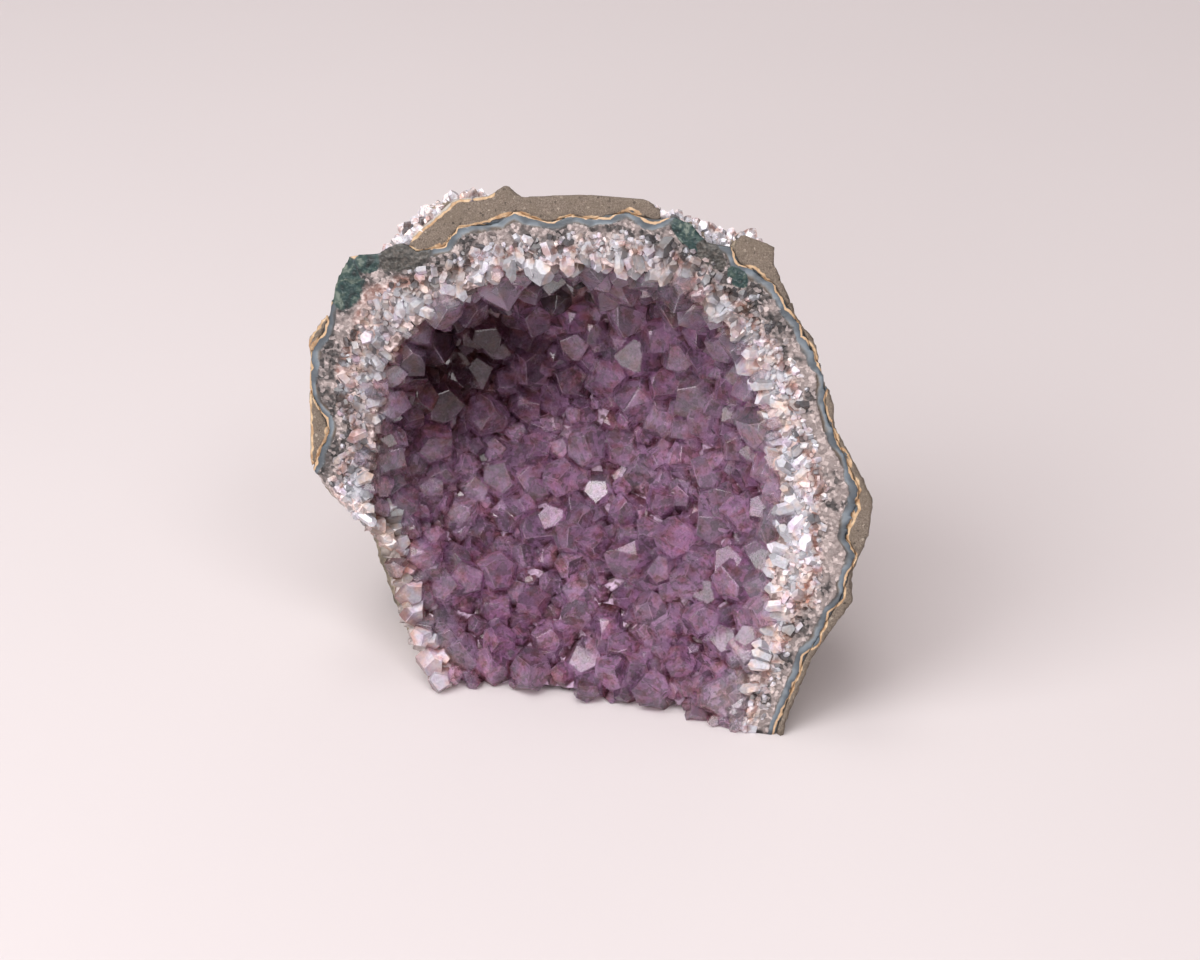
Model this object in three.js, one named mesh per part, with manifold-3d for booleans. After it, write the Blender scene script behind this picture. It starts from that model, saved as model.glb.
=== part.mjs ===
// Amethyst geode section: part of a geode that stands on its sawn foot, with a sawn face that leans back.
// A rough basalt host rock wraps a wall of banded agate and quartz, and one crust of amethyst points lines
// the hollow. Millimetres, +Z up, the sawn face looks along -Y.
//
// Every solid is modelled on the sawn face first: x runs to the right along the face, z up along it from the
// foot, and y is the depth behind it. The finished solids are then leaned back and stood on Z = 0.
import * as THREE from "three";
import { mergeVertices } from "three/addons/utils/BufferGeometryUtils.js";
import Module from "manifold-3d";

const wasm = await Module();
wasm.setup();

// Driving dimensions
const LEAN = THREE.MathUtils.degToRad(15); // how far the sawn face leans back
const ROCK_DEPTH = 52; // sawn face to the back of the host rock
const WALL_DEPTH = 38; // sawn face to the back of the agate
const HOLLOW_DEPTH = 28; // sawn face to the bottom of the hollow in the wall
const DRIFT = { x: -0.14, z: -0.29 }; // how far rock and wall drift left and down for each mm of depth
const GAP = 0.3; // clearance between neighbouring solids
const CRUST_BED = 2.6; // thickness of the grown-together roots of the amethyst
const SMALLEST_CRYSTAL = 2.5; // radii of the crystals
const LARGEST_CRYSTAL = 5.2;
const FOOT_CLEARANCE = 0.6; // the crystals stay this far above the foot
const AHEAD = 4; // how far a dome runs past the sawn face before it is trimmed flat
const SEED = 3;

// Outlines on the sawn face, clockwise from the left tip, as [x, z]. Below the foot they only close the dome.
const ROCK_OUTLINE = [
  [-60.2, 46], [-60.6, 56], [-61, 62], [-61.6, 72.5], [-57.8, 78.5], [-53, 82], [-47.5, 86], [-41.6, 91],
  [-40.3, 96], [-37.4, 98.7], [-32, 104.2], [-25.6, 105.4], [-22, 108.2], [-19, 106], [-6, 107.7], [6.2, 108],
  [8.8, 106.6], [11, 101], [17, 97], [22, 96.5], [25.4, 102.8], [32, 101], [32, 97.6], [37.7, 87], [41.3, 83],
  [45.8, 70.5], [46.2, 66.8], [52.1, 57], [55.3, 51.5], [54.8, 45], [51.7, 34], [52.7, 30.5], [48, 22.5],
  [45.3, 17.4], [41.6, 5], [39, -10], [28, -22], [8, -30], [-14, -30], [-28, -24], [-37, -12], [-42, 0],
  [-46.5, 13], [-51, 26], [-57.5, 38],
];
const WALL_OUTLINE = [
  [-60, 45], [-56.6, 54], [-61, 63], [-60.8, 69.6], [-57.4, 77], [-56, 86], [-53.5, 90.6], [-48, 91.8],
  [-42.5, 94.8], [-39.6, 93], [-34, 94.4], [-31.4, 98.4], [-23, 100.3], [-20, 103.3], [-13, 101.4], [-8.5, 103.4],
  [-4.5, 103], [2.5, 105.5], [8, 103.8], [12, 105.4], [15.4, 104.2], [18.7, 100.5], [23.4, 99.8], [25, 97.2],
  [32.3, 93.6], [38, 86.2], [43.4, 76.6], [44.6, 68.4], [52.6, 53.4], [50.3, 43.6], [52.7, 40.6], [50, 31],
  [43.7, 17], [42.3, 12], [38.4, -2], [27, -15], [8, -21], [-12, -21], [-25, -16], [-35, -7], [-40, 2],
  [-44.5, 14], [-49, 27], [-56, 38],
];
const HOLLOW_OUTLINE = [
  [-49.5, 38], [-49.4, 50], [-48.4, 61], [-47.2, 69.5], [-42.6, 77.3], [-34.8, 84.4], [-24.2, 90.8],
  [-17, 94], [-6, 95.4], [5, 96], [14.4, 92.2], [24.4, 86.2], [30.8, 77.4], [34.8, 67.4], [37.4, 57],
  [39, 48], [38.4, 36], [38, 25], [35.4, 12], [31.5, 1], [22, -9], [4, -13], [-14, -13], [-28, -8], [-36.5, 4],
  [-41, 15], [-45, 27],
];
const WALL_POLE = { x: -4, z: 46 }; // where each dome is deepest
const ROCK_POLE = { x: -5, z: 40 };
const HOLLOW_POLE = { x: -13, z: 63 };
const HOLLOW_FULLNESS = 0.8;
const HOLLOW_SHALLOWS = { low: -12, high: 54, share: 0.3 }; // towards the foot only this share of the depth is left

// The lower left of the geode is broken away: the line of the break on the face, and how far it swings to
// the left for each millimetre behind the face.
const BREAK_LINE = [
  [-60, 45], [-52.5, 38], [-43.5, 31.5], [-41, 26.5], [-38, 18.5], [-35.5, 11], [-32.5, 4], [-29.5, -2],
];
const BREAK_SWING = 0.5;
const BREAK_ROUGHNESS = 0.9;

// A white druse swells the outside of the geode in two places behind the upper edge of the face.
const DRUSES = [
  { x: -43, z: 92, spread: 22, swell: 4.4 },
  { x: 16, z: 98, spread: 13, swell: 4 },
];

// Above the foot the middle crystals were never sawn, and stand a little proud of the face.
const PROUD = { left: -36, right: 29, top: 20, by: 5 };

// Small tools

// Repeatable random numbers from 0 to 1.
function seededRandom(seed) {
  let state = seed;
  return () => {
    state = (state + 0x6d2b79f5) | 0;
    let t = Math.imul(state ^ (state >>> 15), 1 | state);
    t = (t + Math.imul(t ^ (t >>> 7), 61 | t)) ^ t;
    return ((t ^ (t >>> 14)) >>> 0) / 4294967296;
  };
}

// A smooth bumpy field from -1 to 1 whose bumps are about `size` apart.
function bumps(point, size, phase = 0) {
  const k = (2 * Math.PI) / size;
  const a = Math.sin(k * point.x + 1.7 * Math.sin(0.6 * k * point.z + phase));
  const b = Math.sin(k * point.y + 1.3 * Math.sin(0.7 * k * point.x + 2 * phase) + 1.1);
  const c = Math.sin(k * point.z + 1.5 * Math.sin(0.5 * k * point.y + phase) + 2.3);
  return (a + b + c) / 3;
}

const smooth = THREE.MathUtils.smoothstep;

function toManifold(geometry) {
  const bare = geometry.clone();
  bare.deleteAttribute("normal");
  bare.deleteAttribute("uv");
  const merged = mergeVertices(bare, 1e-4);
  return new wasm.Manifold(
    new wasm.Mesh({
      numProp: 3,
      vertProperties: merged.attributes.position.array,
      triVerts: new Uint32Array(merged.index.array),
    }),
  );
}

function toGeometry(manifold) {
  const mesh = manifold.getMesh();
  return new THREE.BufferGeometry()
    .setAttribute("position", new THREE.BufferAttribute(new Float32Array(mesh.vertProperties), 3))
    .setIndex(new THREE.BufferAttribute(new Uint32Array(mesh.triVerts), 1));
}

function biggestBody(manifold) {
  return manifold.decompose().sort((a, b) => b.volume() - a.volume())[0];
}

// An outline without its sharp corners.
function softened(outline) {
  const n = outline.length;
  const mean = (k, i, points) => (points[(i + n - 1) % n][k] + 2 * points[i][k] + points[(i + 1) % n][k]) / 4;
  let soft = outline;
  for (let pass = 0; pass < 5; pass++) soft = soft.map((_, i, all) => [mean(0, i, all), mean(1, i, all)]);
  return soft;
}

// A closed dome behind the sawn face: rings of the outline that shrink towards the pole as they go deeper.
// `fadeOver` is the depth over which the outline loses its corners, `drift` carries the rings sideways, `grow`
// moves the surface outwards, `relief` roughens it, and a `fullness` under 1 squares the shoulder.
function dome({
  outline, pole, depth, fullness, rings, fadeOver = 0, drift = { x: 0, z: 0 }, shallows = () => 1, grow = 0,
  relief = () => 0,
}) {
  const soft = fadeOver ? softened(outline) : outline;
  const points = [];
  const ring = (shrink, sink) => {
    const fade = fadeOver ? smooth(depth * sink, 0, fadeOver) : 0;
    outline.forEach(([sharpX, sharpZ], i) => {
      const x = THREE.MathUtils.lerp(sharpX, soft[i][0], fade);
      const z = THREE.MathUtils.lerp(sharpZ, soft[i][1], fade);
      const out = new THREE.Vector3(x - pole.x, 0, z - pole.z);
      out.setLength(out.length() * shrink + grow);
      const y = sink < 0 ? -AHEAD : (depth * shallows(pole.z + out.z) + grow) * sink;
      const point = new THREE.Vector3(pole.x + drift.x * y, y, pole.z + drift.z * y).add(out);
      const outward = out.normalize().multiplyScalar(shrink).setY(Math.max(0, sink));
      points.push(point.addScaledVector(outward, relief(point)));
    });
  };
  ring(1, -1);
  for (let j = 0; j < rings; j++) {
    const turn = (j / rings) * (Math.PI / 2);
    ring(Math.cos(turn) ** fullness, Math.sin(turn));
  }
  const bottom = depth * shallows(pole.z) + grow;
  points.push(new THREE.Vector3(pole.x + drift.x * bottom, bottom, pole.z + drift.z * bottom));
  points.push(new THREE.Vector3(pole.x, -AHEAD, pole.z));

  const n = outline.length;
  const back = (rings + 1) * n;
  const faces = [];
  for (let j = 0; j < rings; j++) {
    for (let i = 0; i < n; i++) {
      const [a, b] = [j * n + i, j * n + ((i + 1) % n)];
      faces.push(a, b, a + n, b, b + n, a + n);
    }
  }
  for (let i = 0; i < n; i++) {
    const next = (i + 1) % n;
    faces.push(rings * n + i, rings * n + next, back, next, i, back + 1);
  }
  return toManifold(new THREE.BufferGeometry().setFromPoints(points).setIndex(faces));
}

// Cutting tools

const BLOCK = 400; // a cutting block larger than the whole piece

// Everything in front of the sawn face.
function sawnOff() {
  return toManifold(new THREE.BoxGeometry(BLOCK, BLOCK, BLOCK).translate(0, -BLOCK / 2, 0));
}

// The room in front of the face where crystals stand proud of it.
function proudRoom() {
  const box = new THREE.BoxGeometry(PROUD.right - PROUD.left, PROUD.by + 1, PROUD.top + 20);
  return toManifold(box.translate((PROUD.left + PROUD.right) / 2, (1 - PROUD.by) / 2, PROUD.top / 2 - 10));
}

// Everything below the foot, which the leaning face meets at z = 0; `clearance` raises it.
function belowFoot(clearance = 0) {
  const block = new THREE.BoxGeometry(BLOCK, BLOCK, BLOCK).translate(0, 0, clearance - BLOCK / 2);
  return toManifold(block.rotateX(LEAN));
}

// The lost lower left corner, with a rough surface.
function brokenOff() {
  const far = 110;
  const [first, last] = [BREAK_LINE[0], BREAK_LINE.at(-1)];
  const corner = [[last[0], -far], [-far, -far], [-far, first[1]]];
  const shape = new THREE.Shape([...BREAK_LINE, ...corner].map(([x, z]) => new THREE.Vector2(x, z)));
  const slab = new THREE.ExtrudeGeometry(shape, { depth: 80, steps: 16, bevelEnabled: false });
  slab.rotateX(Math.PI / 2).translate(0, 80, 0); // depth now runs along y
  const position = slab.attributes.position;
  const point = new THREE.Vector3();
  for (let i = 0; i < position.count; i++) {
    point.fromBufferAttribute(position, i);
    point.set(point.x - BREAK_SWING * (point.y - AHEAD), point.y - AHEAD, point.z);
    const rough = BREAK_ROUGHNESS * bumps(point, 9, 0.4);
    position.setXYZ(i, point.x + rough, point.y, point.z + rough);
  }
  return toManifold(slab);
}

// The host rock and the wall

// Behind the face the wall draws in faster than the rock, so that the rock closes over it.
const wallRelief = (point) => 0.5 * bumps(point, 17, 0.3) - 2.2 * smooth(point.y, 0, 9);

function rockRelief(point) {
  const druses = DRUSES.map(({ x, z, spread, swell }) => {
    const away = Math.hypot(point.x - x, point.z - z) / spread;
    return swell * (1 - smooth(away, 0.3, 1)) * smooth(point.y, 1, 7) * (1 - smooth(point.y, 12, 28));
  });
  const rough = 2.6 * bumps(point, 34, 0.9) + 1.5 * bumps(point, 14, 2.1);
  return Math.max(...druses) + rough * smooth(point.y, 3, 16);
}

const rockDome = () => dome({
  outline: ROCK_OUTLINE, pole: ROCK_POLE, depth: ROCK_DEPTH, fullness: 0.62, rings: 10, fadeOver: 13,
  drift: DRIFT, relief: rockRelief,
});
const wallDome = (grow) => dome({
  outline: WALL_OUTLINE, pole: WALL_POLE, depth: WALL_DEPTH, fullness: 0.72, rings: 9, fadeOver: 11,
  drift: DRIFT, grow, relief: wallRelief,
});
const hollowShallows = (z) => {
  const { low, high, share } = HOLLOW_SHALLOWS;
  return THREE.MathUtils.lerp(share, 1, smooth(z, low, high));
};
const hollowDome = (grow) => dome({
  outline: HOLLOW_OUTLINE, pole: HOLLOW_POLE, depth: HOLLOW_DEPTH, fullness: HOLLOW_FULLNESS, rings: 10,
  shallows: hollowShallows, grow,
});

function hostRock() {
  const rock = rockDome().subtract(wallDome(GAP)).subtract(sawnOff()).subtract(belowFoot());
  return biggestBody(rock.subtract(brokenOff()));
}

function geodeWall() {
  const wall = wallDome(0).subtract(hollowDome(0)).subtract(sawnOff()).subtract(belowFoot());
  return biggestBody(wall.subtract(brokenOff()));
}

// The amethyst crust
//
// The hollow's surface is unrolled around its pole onto a flat plan. The plan is shared out between the
// crystals, each gets a six-sided point inside its share, and everything is rolled back onto the hollow.

// Distance from the pole to the hollow's outline in a direction.
function outlineReach(angle) {
  const [dx, dz] = [Math.cos(angle), Math.sin(angle)];
  let reach = 0;
  HOLLOW_OUTLINE.forEach(([ax, az], i) => {
    const [bx, bz] = HOLLOW_OUTLINE[(i + 1) % HOLLOW_OUTLINE.length];
    const [ex, ez] = [bx - ax, bz - az];
    const cross = dx * ez - dz * ex;
    if (Math.abs(cross) < 1e-9) return;
    const along = ((ax - HOLLOW_POLE.x) * ez - (az - HOLLOW_POLE.z) * ex) / cross;
    const share = ((ax - HOLLOW_POLE.x) * dz - (az - HOLLOW_POLE.z) * dx) / cross;
    if (along > 0 && share >= 0 && share <= 1) reach = Math.max(reach, along);
  });
  return reach;
}

// The hollow's profile in a direction, from the pole to a little past the rim, as steps of [reach, depth].
function profile(angle) {
  const reach = outlineReach(angle);
  return Array.from({ length: 31 }, (_, i) => {
    const turn = (1 - i / 24) * (Math.PI / 2);
    const out = reach * Math.cos(turn) ** HOLLOW_FULLNESS;
    return [out, HOLLOW_DEPTH * hollowShallows(HOLLOW_POLE.z + out * Math.sin(angle)) * Math.sin(turn)];
  });
}

// A place on the plan, rolled onto the hollow: its distance from the middle of the plan is its distance from
// the pole along the profile.
function rolled({ u, v }) {
  const angle = Math.atan2(v, u);
  const steps = profile(angle);
  let left = Math.hypot(u, v);
  let i = 1;
  const length = (k) => Math.hypot(steps[k][0] - steps[k - 1][0], steps[k][1] - steps[k - 1][1]);
  while (i < steps.length - 1 && left > length(i)) left -= length(i++);
  const share = left / length(i);
  const out = THREE.MathUtils.lerp(steps[i - 1][0], steps[i][0], share);
  const depth = THREE.MathUtils.lerp(steps[i - 1][1], steps[i][1], share);
  return new THREE.Vector3(HOLLOW_POLE.x + out * Math.cos(angle), depth, HOLLOW_POLE.z + out * Math.sin(angle));
}

// The direction into the hollow, square to its surface.
function inward({ u, v }) {
  const step = 1.2;
  const along = rolled({ u: u + step, v }).sub(rolled({ u: u - step, v }));
  const across = rolled({ u, v: v + step }).sub(rolled({ u, v: v - step }));
  return along.cross(across).normalize();
}

// Crystals scattered over the plan, larger ones and smaller ones, then evened out so that each has room.
function crystalSeeds() {
  const random = seededRandom(SEED);
  const seeds = [];
  for (let tries = 0; tries < 12000; tries++) {
    const [u, v] = [170 * (random() - 0.5), 170 * (random() - 0.5)];
    const radius = THREE.MathUtils.lerp(SMALLEST_CRYSTAL, LARGEST_CRYSTAL, random() ** 1.5);
    if (rolled({ u, v }).y < -6) continue;
    if (seeds.some((s) => Math.hypot(s.u - u, s.v - v) < 0.92 * (s.radius + radius))) continue;
    seeds.push({ u, v, radius, turn: random() * Math.PI, rise: random(), tilt: [random(), random()] });
  }
  const centred = (seed) => {
    const share = shareOf(seed, seeds);
    const [u, v] = [0, 1].map((k) => share.reduce((sum, p) => sum + p[k], 0) / share.length);
    return rolled(seed).y < -2 ? seed : { ...seed, u: (u + seed.u) / 2, v: (v + seed.v) / 2 };
  };
  return seeds.map(centred);
}

// A crystal's share of the plan: a polygon cut back by each neighbour, in proportion to the two radii.
function shareOf(seed, seeds) {
  const reach = 14;
  let polygon = [[-1, -1], [1, -1], [1, 1], [-1, 1]].map(([a, b]) => [seed.u + reach * a, seed.v + reach * b]);
  for (const other of seeds) {
    const [nu, nv] = [other.u - seed.u, other.v - seed.v];
    const apart = Math.hypot(nu, nv);
    if (other === seed || apart > 2 * reach) continue;
    const limit = (apart ** 2 + seed.radius ** 2 - other.radius ** 2) / 2;
    const side = ([u, v]) => (u - seed.u) * nu + (v - seed.v) * nv - limit;
    polygon = polygon.flatMap((a, i) => {
      const b = polygon[(i + 1) % polygon.length];
      const [sa, sb] = [side(a), side(b)];
      const kept = sa <= 0 ? [a] : [];
      if (sa < 0 !== sb < 0) {
        const t = sa / (sa - sb);
        kept.push([a[0] + t * (b[0] - a[0]), a[1] + t * (b[1] - a[1])]);
      }
      return kept;
    });
  }
  return polygon;
}

// The whole crust as one sheet of crystals, thick enough to reach back into the wall.
function crystalSheet() {
  const seeds = crystalSeeds();
  const points = [];
  const index = new Map();
  const add = (name, make) => {
    if (!index.has(name)) {
      index.set(name, points.length);
      points.push(make());
    }
    return index.get(name);
  };
  const nameOf = ([u, v]) => `${u.toFixed(3)} ${v.toFixed(3)}`;
  const faces = [];
  const borders = new Map();

  for (const seed of seeds) {
    if (rolled(seed).y < -3) continue;
    const share = shareOf(seed, seeds).filter((p, i, all) => nameOf(p) !== nameOf(all[(i + 1) % all.length]));
    const normal = inward(seed);
    const root = rolled(seed).addScaledVector(normal, CRUST_BED);
    const lean = new THREE.Vector3(seed.tilt[0] - 0.5, 0, seed.tilt[1] - 0.5).multiplyScalar(0.3);
    const axis = normal.clone().add(lean).normalize();
    const along = rolled({ u: seed.u + 1, v: seed.v }).sub(rolled({ u: seed.u - 1, v: seed.v }));
    const up = axis.clone().cross(along).normalize();
    const across = up.clone().cross(axis);

    // The valley around the crystal, shared with its neighbours, and the back of the sheet.
    const valley = share.map(([u, v]) => {
      const place = { u, v };
      const name = nameOf([u, v]);
      const height = CRUST_BED + 0.4 * bumps({ x: u, y: 0, z: v }, 11);
      const front = add(`front ${name}`, () => rolled(place).addScaledVector(inward(place), height));
      const back = add(`back ${name}`, () => rolled(place).addScaledVector(inward(place), -1.5));
      return { front, back, angle: Math.atan2(v - seed.v, u - seed.u) };
    });
    const room = Math.min(...valley.map((a, i) => {
      const edge = new THREE.Line3(points[a.front], points[valley[(i + 1) % valley.length].front]);
      return edge.closestPointToPoint(root, true, new THREE.Vector3()).distanceTo(root);
    }));

    // The six corners of the shoulder, three of them lower, and the tip.
    const width = 0.86 * room;
    const shoulder = width * (0.45 + 0.6 * seed.rise);
    const corners = Array.from({ length: 6 }, (_, k) => {
      const angle = seed.turn + (k * Math.PI) / 3;
      const flat = across.clone().multiplyScalar(Math.cos(angle)).addScaledVector(up, Math.sin(angle));
      const drop = k % 2 ? 0 : 0.22 * width;
      points.push(root.clone().addScaledVector(axis, shoulder - drop).addScaledVector(flat, width));
      return { front: points.length - 1, angle };
    });
    points.push(root.clone().addScaledVector(axis, shoulder + 1.2 * width));
    const tip = points.length - 1;
    points.push(rolled(seed).addScaledVector(normal, -1.5));
    const heel = points.length - 1;

    corners.forEach((corner, k) => faces.push(corner.front, corners[(k + 1) % 6].front, tip));
    joinRings(valley, corners, faces);
    valley.forEach((a, i) => {
      const b = valley[(i + 1) % valley.length];
      faces.push(b.back, a.back, heel);
      if (!borders.delete(`${b.front} ${a.front}`)) borders.set(`${a.front} ${b.front}`, [a, b]);
    });
  }
  for (const [a, b] of borders.values()) faces.push(a.back, b.back, b.front, a.back, b.front, a.front);
  return toManifold(new THREE.BufferGeometry().setFromPoints(points).setIndex(faces));
}

// Faces between an outer and an inner ring that both run anticlockwise around the same middle.
function joinRings(outer, inner, faces) {
  const full = 2 * Math.PI;
  const since = (angle, start) => (((angle - start) % full) + full) % full;
  const start = outer[0].angle;
  const first = inner.reduce((best, c, i) => (since(c.angle, start) < since(inner[best].angle, start) ? i : best), 0);
  const ring = inner.map((_, k) => inner[(first + k) % inner.length]);
  let [i, k] = [0, 0];
  while (i < outer.length || k < ring.length) {
    const a = outer[i % outer.length];
    const b = ring[(k + ring.length - 1) % ring.length];
    const nextOuter = i + 1 < outer.length ? since(outer[i + 1].angle, start) : full;
    const nextInner = k < ring.length ? since(ring[k].angle, start) : full + 1;
    if (i < outer.length && (nextOuter <= nextInner || k === ring.length)) {
      faces.push(a.front, outer[(i + 1) % outer.length].front, b.front);
      i++;
    } else {
      faces.push(a.front, ring[k].front, b.front);
      k++;
    }
  }
}

function amethystCrust() {
  const grown = crystalSheet().intersect(hollowDome(-GAP));
  const sawn = grown.subtract(sawnOff().subtract(proudRoom()));
  return biggestBody(sawn.subtract(belowFoot(FOOT_CLEARANCE)).subtract(brokenOff()));
}

// Assembly

const FINISHES = {
  host_rock: { color: 0x766c62, roughness: 0.95, metalness: 0 },
  geode_wall: { color: 0xb9adb0, roughness: 0.55, metalness: 0 },
  amethyst_crust: { color: 0x7d5f92, roughness: 0.15, metalness: 0 },
};

function node(name, manifold) {
  const geometry = toGeometry(manifold).rotateX(-LEAN);
  const mesh = new THREE.Mesh(geometry, new THREE.MeshStandardMaterial({ ...FINISHES[name], flatShading: true }));
  mesh.name = name;
  return mesh;
}

const geode = new THREE.Group();
geode.add(
  node("host_rock", hostRock()),
  node("geode_wall", geodeWall()),
  node("amethyst_crust", amethystCrust()),
);

// The origin is below the middle of the whole piece, on its foot.
const box = new THREE.Box3().setFromObject(geode, true);
const middle = box.getCenter(new THREE.Vector3());
geode.position.set(-middle.x, -middle.y, -box.min.z);

export default geode;
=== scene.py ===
"""Amethyst geode section: basalt host rock, a wall of agate and quartz, and a hollow of amethyst crystals.

Lengths in this file are millimetres unless a comment says otherwise; Blender objects are in metres. The face
frame has x to the right along the sawn face, z up along it from the foot, and y as the depth behind it.
"""

import itertools
import math

import bmesh
import bpy
import numpy as np
from mathutils import Matrix, Vector, noise
from mathutils.bvhtree import BVHTree
from mathutils.kdtree import KDTree


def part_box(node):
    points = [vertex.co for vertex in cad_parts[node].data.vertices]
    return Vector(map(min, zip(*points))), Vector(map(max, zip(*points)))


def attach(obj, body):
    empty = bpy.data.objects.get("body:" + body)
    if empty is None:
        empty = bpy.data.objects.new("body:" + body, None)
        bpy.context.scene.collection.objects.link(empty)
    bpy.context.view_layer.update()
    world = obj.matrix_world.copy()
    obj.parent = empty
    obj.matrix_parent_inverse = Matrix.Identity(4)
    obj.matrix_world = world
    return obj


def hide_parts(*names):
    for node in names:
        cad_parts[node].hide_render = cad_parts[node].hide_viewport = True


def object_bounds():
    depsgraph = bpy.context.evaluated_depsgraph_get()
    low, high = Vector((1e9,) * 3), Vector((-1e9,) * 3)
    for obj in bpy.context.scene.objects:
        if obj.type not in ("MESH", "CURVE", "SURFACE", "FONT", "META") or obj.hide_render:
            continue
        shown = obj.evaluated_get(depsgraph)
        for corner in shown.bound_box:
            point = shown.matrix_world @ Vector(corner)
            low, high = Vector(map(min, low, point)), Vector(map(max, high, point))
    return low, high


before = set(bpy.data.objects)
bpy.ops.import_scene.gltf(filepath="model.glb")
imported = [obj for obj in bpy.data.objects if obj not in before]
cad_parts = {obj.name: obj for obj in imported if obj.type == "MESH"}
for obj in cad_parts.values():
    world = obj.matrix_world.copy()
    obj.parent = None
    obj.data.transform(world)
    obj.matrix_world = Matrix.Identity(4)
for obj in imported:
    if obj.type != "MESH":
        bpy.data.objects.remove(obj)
CAD_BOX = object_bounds()

MM = 0.001
LEAN = math.radians(15)  # how far the sawn face leans back
SEED = 11

# Viewpoint
AZIMUTH = math.radians(12)
ELEVATION = math.radians(32)
DISTANCE = 667.0
LENS = 100.0
SENSOR = 36.0
AIM_FROM_MIDDLE = (3.15, -17.39, -4.16)  # what the camera looks at, from the middle of the CAD box

# The wall's bands, as distances from its skin
AGATE_TO = 1.5
GRANULAR_TO = 5.0

# Meshes
ROCK_VOXEL = 0.74
WALL_VOXEL = 0.66
BED_SWELL = 1.9  # the quartz bed under the crystals stands this far into the hollow
FACE_SLACK = 0.05  # a CAD triangle this close to the face or the foot lies on it
FLAT_SHARE = 0.55  # a remeshed point less than this share of a voxel behind the face belongs to it
FOOT_SHARE = 0.6  # and less than this share of a voxel above the floor, to the foot
FAR = 60.0  # distances are measured up to this
BOX_MARGIN = 0.02  # what Blender adds stays this far inside the CAD box

QUARTZ_IOR = 1.54

# The face frame
LEFT_REACH = 61.05  # how far the wall reaches to the left of the frame's origin
wall_low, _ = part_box("geode_wall")
ALONG = np.array([1.0, 0.0, 0.0])
BEHIND = np.array([0.0, math.cos(LEAN), -math.sin(LEAN)])
UP_FACE = np.array([0.0, math.sin(LEAN), math.cos(LEAN)])
AXES = np.array([ALONG, BEHIND, UP_FACE])
ORIGIN = np.array([wall_low[0] / MM + LEFT_REACH, wall_low[1] / MM, 0.0])


def to_face(points):
    """Points of the part, in metres, as points of the face frame."""
    return (np.asarray(points) / MM - ORIGIN) @ AXES.T


def from_face(points):
    """Points of the face frame as points of the part, in metres."""
    return (np.asarray(points) @ AXES + ORIGIN) * MM


def ramp(values, low, high):
    """0 below low, 1 above high, smooth between."""
    t = np.clip((np.asarray(values, dtype=float) - low) / (high - low), 0, 1)
    return t * t * (3 - 2 * t)


# --- Mesh tools


def coordinates_of(obj):
    """An object's vertices, in metres."""
    points = np.empty(len(obj.data.vertices) * 3)
    obj.data.vertices.foreach_get("co", points)
    return points.reshape(-1, 3)


def triangles_of(obj):
    """Vertices in the face frame and triangles of a CAD node."""
    mesh = obj.data
    mesh.calc_loop_triangles()
    corners = np.empty(len(mesh.loop_triangles) * 3, dtype=int)
    mesh.loop_triangles.foreach_get("vertices", corners)
    return points_of(obj), corners.reshape(-1, 3)


def normals_of(points, triangles):
    """Each triangle's normal, area and middle."""
    a, b, c = (points[triangles[:, k]] for k in range(3))
    cross = np.cross(b - a, c - a)
    length = np.linalg.norm(cross, axis=1)
    return cross / np.maximum(length, 1e-12)[:, None], length / 2, (a + b + c) / 3


def tree_of(points, triangles):
    return BVHTree.FromPolygons(points.tolist(), triangles.tolist())


def distances(tree, points, limit=FAR):
    """Each point's distance from the nearest triangle of a tree."""
    found = [tree.find_nearest(p, limit)[3] for p in points.tolist()]
    return np.array([limit if d is None else d for d in found])


def placed(name, data):
    """A new object in the scene."""
    obj = bpy.data.objects.new(name, data)
    bpy.context.scene.collection.objects.link(obj)
    return obj


def new_object(name, points, faces):
    """An object whose points are in the face frame."""
    mesh = bpy.data.meshes.new(name)
    mesh.from_pydata(from_face(points).tolist(), [], [list(f) for f in faces])
    mesh.update()
    return placed(name, mesh)


def points_of(obj):
    """An object's vertices in the face frame."""
    return to_face(coordinates_of(obj))


def set_points(obj, points):
    obj.data.vertices.foreach_set("co", from_face(points).ravel())
    obj.data.update()


def vertex_normals(obj):
    """An object's vertex normals, turned into the face frame."""
    normals = np.empty(len(obj.data.vertices) * 3)
    obj.data.vertex_normals.foreach_get("vector", normals)
    return normals.reshape(-1, 3) @ AXES.T


def write_values(obj, **named):
    """Numbers for each vertex, which the material reads by name."""
    for name, values in named.items():
        layer = obj.data.attributes.new(name, "FLOAT", "POINT")
        layer.data.foreach_set("value", np.asarray(values, dtype=np.float32))


def apply_modifiers(obj):
    """Makes an object's modifiers part of its mesh."""
    shown = obj.evaluated_get(bpy.context.evaluated_depsgraph_get())
    made = bpy.data.meshes.new_from_object(shown)
    obj.modifiers.clear()
    old = obj.data
    obj.data = made
    bpy.data.meshes.remove(old)


def remeshed(node, name, voxel):
    """A copy of a CAD node with small even faces."""
    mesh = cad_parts[node].data.copy()
    mesh.name = name
    mesh.materials.clear()
    obj = placed(name, mesh)
    modifier = obj.modifiers.new("remesh", "REMESH")
    modifier.mode = "VOXEL"
    modifier.voxel_size = voxel * MM
    modifier.use_smooth_shade = True
    apply_modifiers(obj)
    return obj


def noise_at(points, size, offset, octaves):
    """Smooth noise from about -1 to 1 whose bumps are about size apart."""
    scaled = points / size + offset
    return np.array([noise.fractal(p, 1.0, 2.0, octaves) for p in scaled.tolist()])


def on_flats(points, voxel):
    """Which points of a remeshed solid lie on the sawn face, and which on the foot."""
    return points[:, 1] < FLAT_SHARE * voxel, from_face(points)[:, 2] < FOOT_SHARE * voxel * MM


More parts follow.
